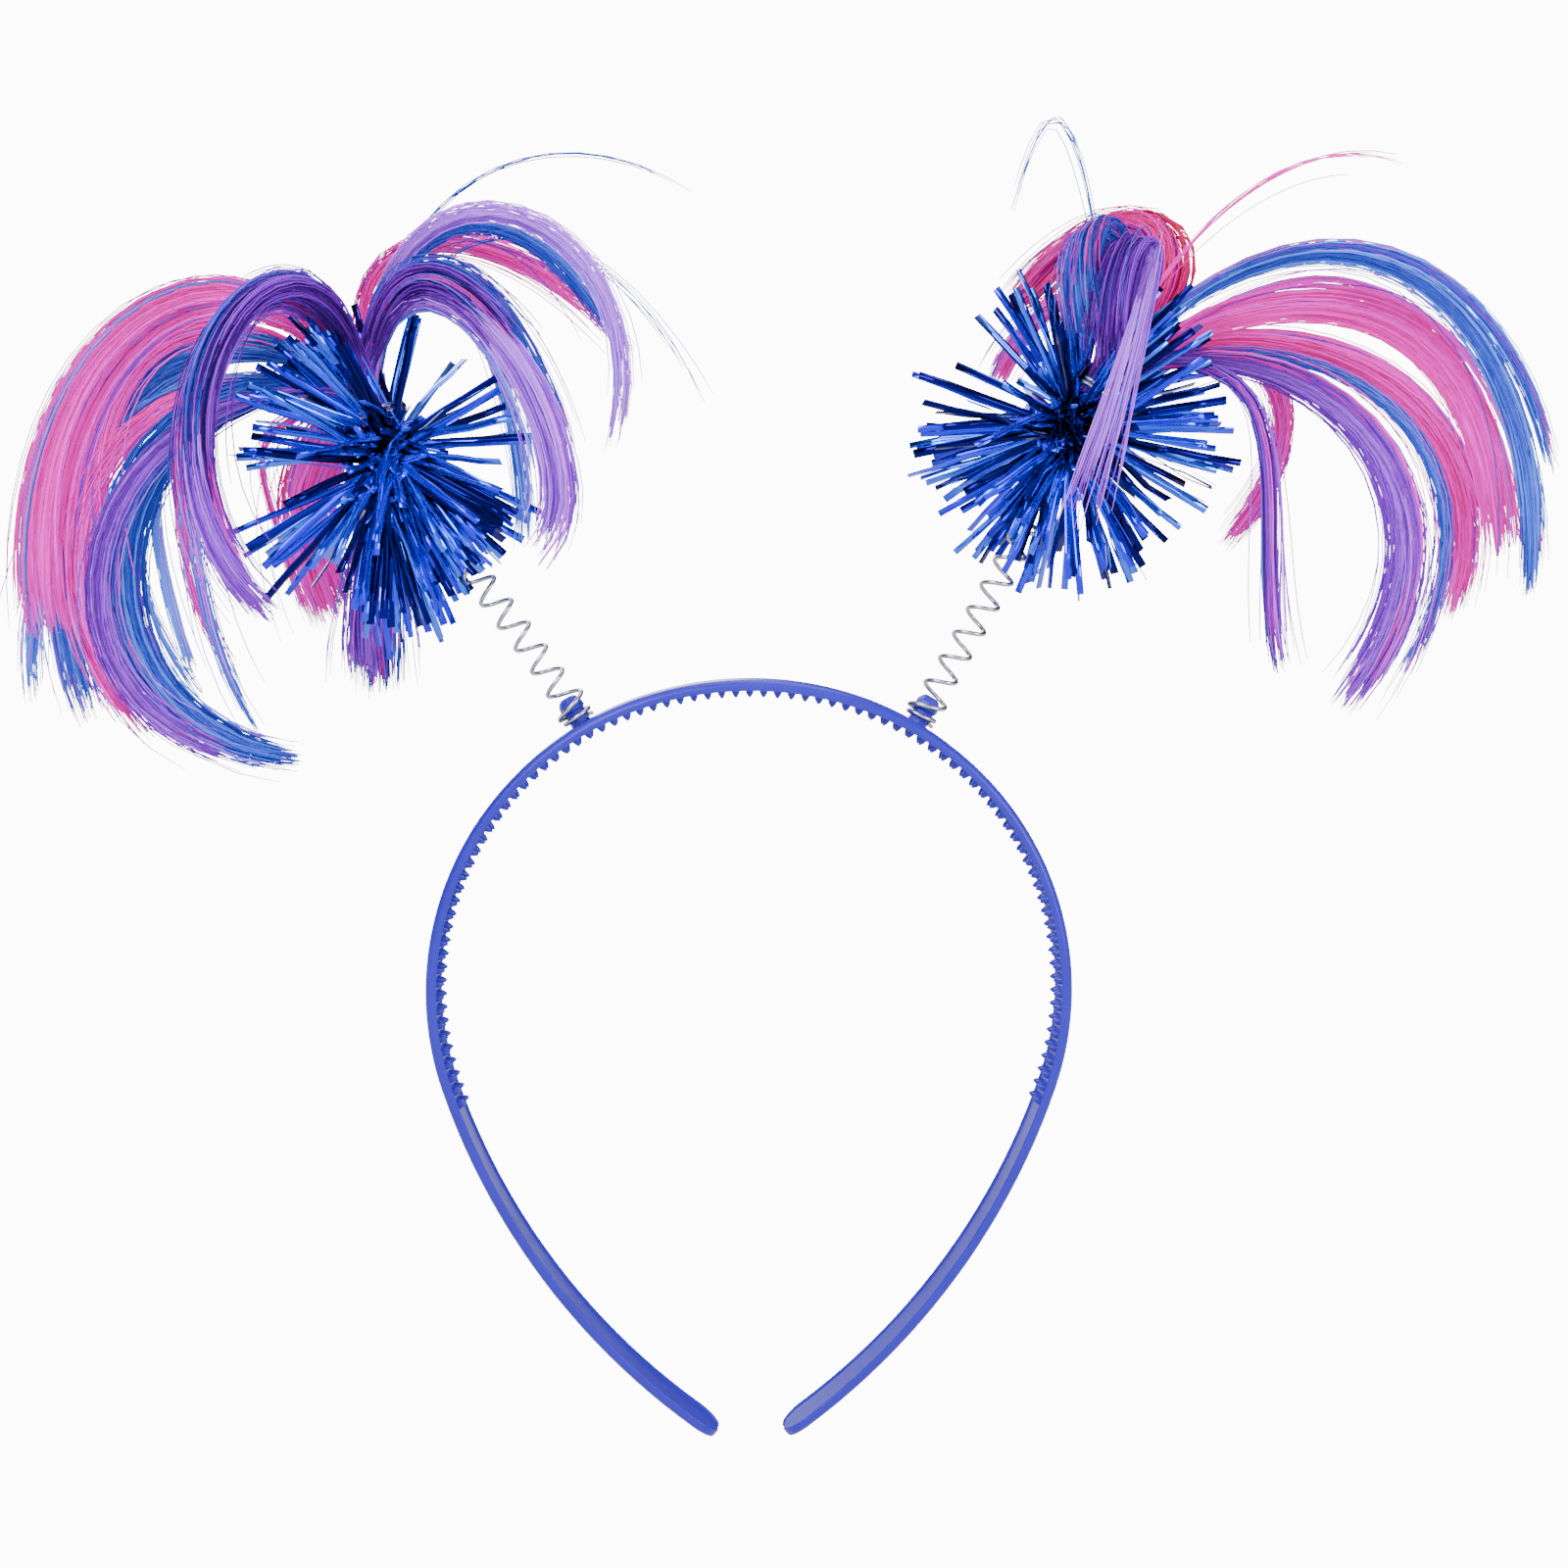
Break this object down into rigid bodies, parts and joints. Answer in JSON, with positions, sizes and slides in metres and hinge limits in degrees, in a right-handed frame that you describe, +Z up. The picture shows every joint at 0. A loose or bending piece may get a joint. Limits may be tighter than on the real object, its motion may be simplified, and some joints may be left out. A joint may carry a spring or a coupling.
{
  "type": "head bopper headband",
  "caption": "Toothed plastic headband with coil springs that carry blue tinsel bursts and plumes of pink, blue and violet fibre.",
  "frame": {"origin": "middle of the band's inner face at the crown, where the band sits on the head", "axes": "+Z up, +X to the right as seen from the front, +Y to the back of the head"},
  "size_m": [0.3104, 0.0939, 0.2472],
  "materials": {
    "band_plastic": "moulded, glossy",
    "spring_steel": "bright drawn wire",
    "tinsel_film": "metallised film, mirror bright",
    "tie_wire": "bright drawn wire",
    "violet_fibre": "straight synthetic fibre, silky sheen",
    "blue_fibre": "straight synthetic fibre, silky sheen",
    "pink_fibre": "straight synthetic fibre, silky sheen"
  },
  "bodies": {
    "root": {"headband": "band_plastic", "spring_left": "spring_steel", "tinsel_left": "tinsel_film", "hair_tie_left": "tie_wire", "violet_hair_left": "violet_fibre", "blue_hair_left": "blue_fibre", "pink_hair_left": "pink_fibre", "spring_right": "spring_steel", "tinsel_right": "tinsel_film", "hair_tie_right": "tie_wire", "violet_hair_right": "violet_fibre", "blue_hair_right": "blue_fibre", "pink_hair_right": "pink_fibre"}
  },
  "joints": []
}
